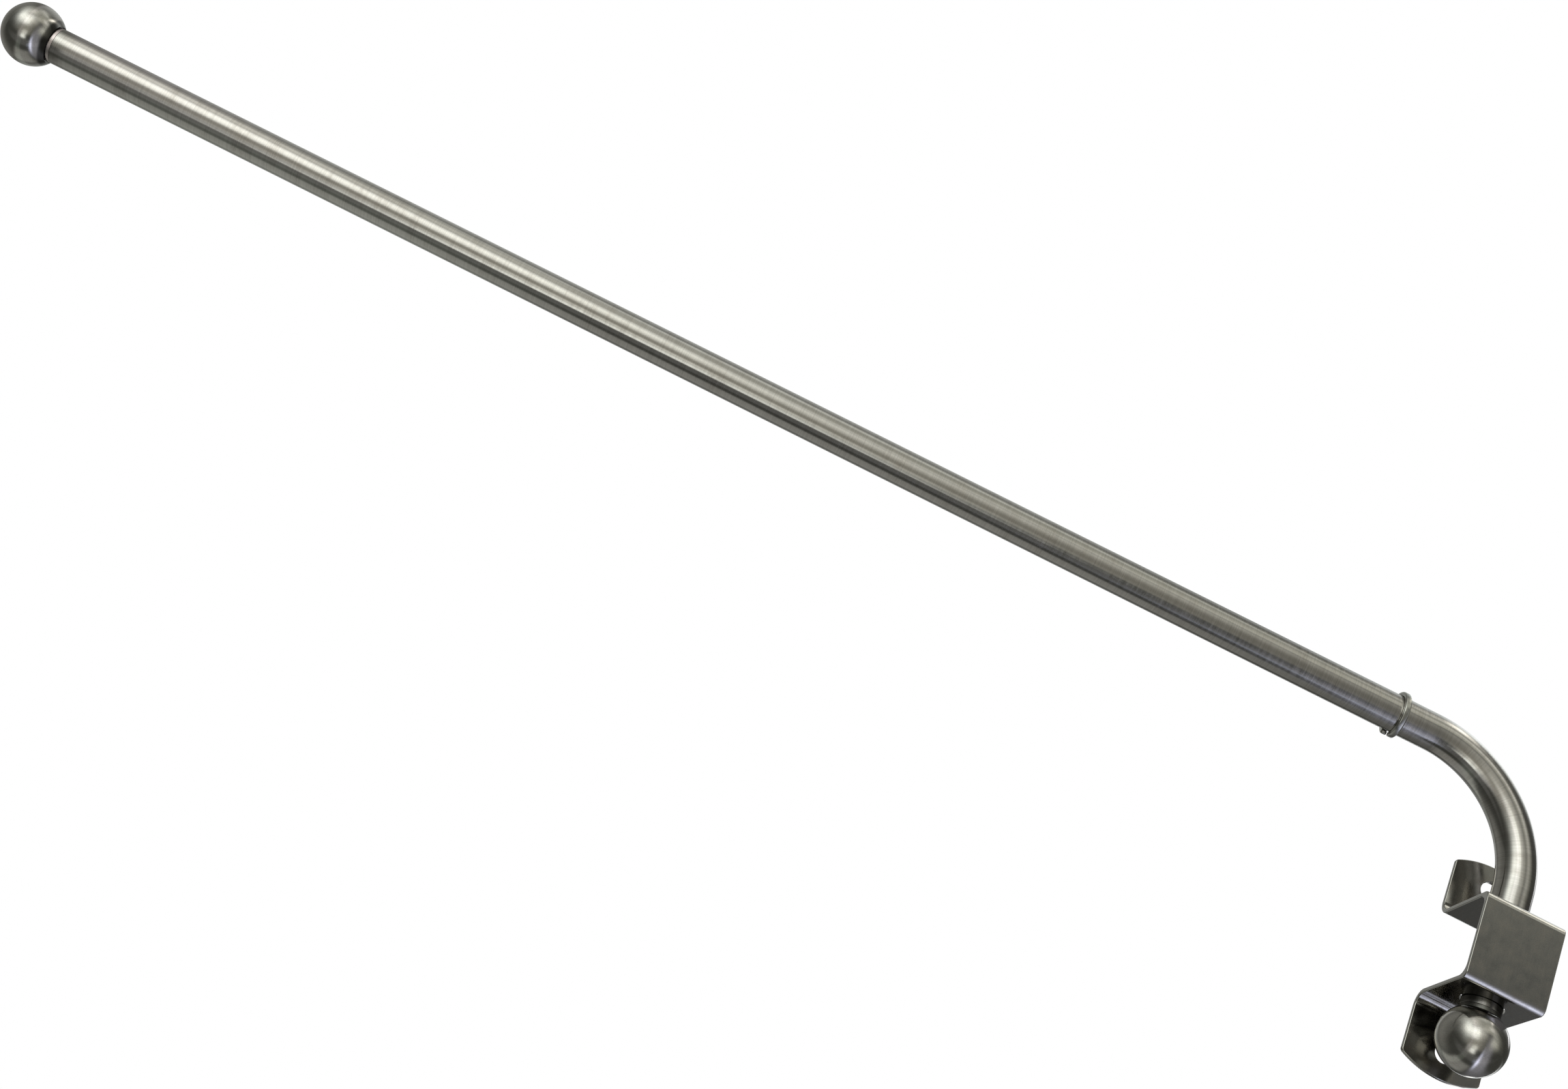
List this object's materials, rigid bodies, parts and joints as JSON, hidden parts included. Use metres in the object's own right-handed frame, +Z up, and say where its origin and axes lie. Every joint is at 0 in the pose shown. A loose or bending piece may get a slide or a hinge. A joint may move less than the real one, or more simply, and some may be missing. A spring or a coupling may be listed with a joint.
{
  "type": "swing arm curtain rod",
  "caption": "Swing arm curtain rod: bent tube with ball finials and a stop ring, turning in a folded hat-shaped wall bracket.",
  "frame": {"origin": "on the wall face, at the middle of the line through the two screw holes", "axes": "+Z up along the wall, -Y out of the wall into the room, the rod lies along -X parallel to the wall at rest"},
  "size_m": [0.5942, 0.032, 0.113],
  "materials": {
    "bracket_steel": "satin plated folded strip with fine mottled grain",
    "tube_steel": "brushed round the tube, warm grey",
    "ring_steel": "satin wire",
    "plug_steel": "satin turned metal",
    "stud_steel": "plain steel, hidden",
    "ball_steel": "brushed, soft reflections"
  },
  "bodies": {
    "bracket": {"wall_bracket": "bracket_steel"},
    "arm": {"rod_tube": "tube_steel", "stop_ring": "ring_steel", "tip_plug": "plug_steel", "tip_stud": "stud_steel", "tip_ball": "ball_steel", "pivot_plug": "plug_steel", "pivot_stud": "stud_steel", "pivot_ball": "ball_steel"}
  },
  "joints": [
    {"name": "swing", "type": "hinge", "parent": "bracket", "child": "arm", "pos_m": [0, -0.018, 0], "axis": [0, 0, 1], "range_deg": [0, 180]}
  ]
}
